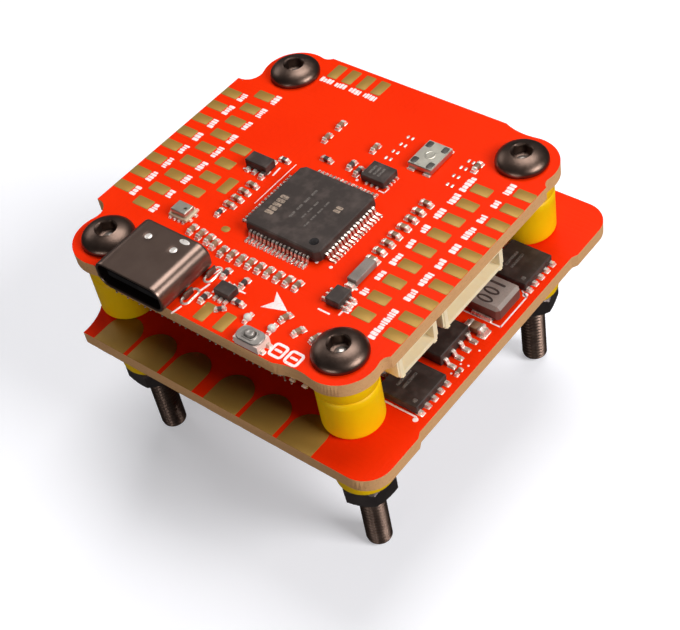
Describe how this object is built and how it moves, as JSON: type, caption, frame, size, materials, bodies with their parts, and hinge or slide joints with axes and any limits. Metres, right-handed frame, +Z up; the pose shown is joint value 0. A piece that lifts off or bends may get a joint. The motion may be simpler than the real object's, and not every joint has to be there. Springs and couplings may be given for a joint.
{
  "type": "drone flight controller stack",
  "caption": "Red flight controller board on a larger motor power board, held by black screws, nuts and yellow soft mounts, with a USB socket and wire sockets at its edges.",
  "frame": {"origin": "centre of the four-screw pattern, on the plane that the screw tips stand on", "axes": "+Z up from the screw tips to the flight controller; the USB socket faces -Y and the wire sockets face +X"},
  "size_m": [0.0446, 0.043, 0.0332],
  "materials": {
    "red_solder_mask": "glossy red-orange solder mask over glass-fibre laminate, tan cut edges",
    "yellow_silicone": "satin yellow silicone",
    "black_oxide_steel": "black oxide steel with soft highlights",
    "dark_steel": "dark nickel-plated drawn steel",
    "black_moulding": "black moulded plastic",
    "tinned_metal": "tinned sheet metal",
    "ivory_nylon": "ivory moulded nylon",
    "grey_moulding": "dark grey moulded plastic",
    "ferrite": "grey-brown moulded ferrite",
    "chip_epoxy": "black moulded epoxy"
  },
  "bodies": {
    "stack": {"barometer_base": "chip_epoxy", "barometer_lid": "tinned_metal", "boot_button_base": "ivory_nylon", "boot_button_cover": "tinned_metal", "boot_button_dome": "tinned_metal", "clock_oscillator": "tinned_metal", "current_shunt": "chip_epoxy", "flight_board": "red_solder_mask", "gate_driver_chip": "chip_epoxy", "level_shift_chip": "chip_epoxy", "lower_mount_left_back": "yellow_silicone", "lower_mount_left_front": "yellow_silicone", "lower_mount_right_back": "yellow_silicone", "lower_mount_right_front": "yellow_silicone", "memory_chip": "chip_epoxy", "microcontroller": "chip_epoxy", "mosfet_back_1": "chip_epoxy", "mosfet_back_2": "chip_epoxy", "mosfet_back_3": "chip_epoxy", "mosfet_back_4": "chip_epoxy", "mosfet_back_5": "chip_epoxy", "mosfet_back_6": "chip_epoxy", "mosfet_front_1": "chip_epoxy", "mosfet_front_2": "chip_epoxy", "mosfet_front_3": "chip_epoxy", "mosfet_front_4": "chip_epoxy", "mosfet_front_5": "chip_epoxy", "mosfet_front_6": "chip_epoxy", "motion_sensor": "chip_epoxy", "motor_controller_1": "chip_epoxy", "motor_controller_2": "chip_epoxy", "motor_controller_3": "chip_epoxy", "motor_controller_4": "chip_epoxy", "nut_left_back": "black_oxide_steel", "nut_left_front": "black_oxide_steel", "nut_right_back": "black_oxide_steel", "nut_right_front": "black_oxide_steel", "power_board": "red_solder_mask", "regulator_chip": "chip_epoxy", "screw_left_back": "black_oxide_steel", "screw_left_front": "black_oxide_steel", "screw_right_back": "black_oxide_steel", "screw_right_front": "black_oxide_steel", "shielded_inductor": "ferrite", "signal_diode": "chip_epoxy", "step_down_chip": "chip_epoxy", "step_down_inductor": "ferrite", "upper_mount_left_back": "yellow_silicone", "upper_mount_left_front": "yellow_silicone", "upper_mount_right_back": "yellow_silicone", "upper_mount_right_front": "yellow_silicone", "usb_protection_chip": "chip_epoxy", "usb_shell": "dark_steel", "usb_tongue": "black_moulding", "video_overlay_chip": "chip_epoxy", "wire_socket_4way": "ivory_nylon", "wire_socket_8way": "ivory_nylon"},
    "boot_button": {"boot_button_plunger": "grey_moulding"}
  },
  "joints": [
    {"name": "boot_press", "type": "slide", "parent": "stack", "child": "boot_button", "axis": [0, 0, -1], "range_m": [0, 0.0002], "stiffness_N_per_m": 1000}
  ]
}
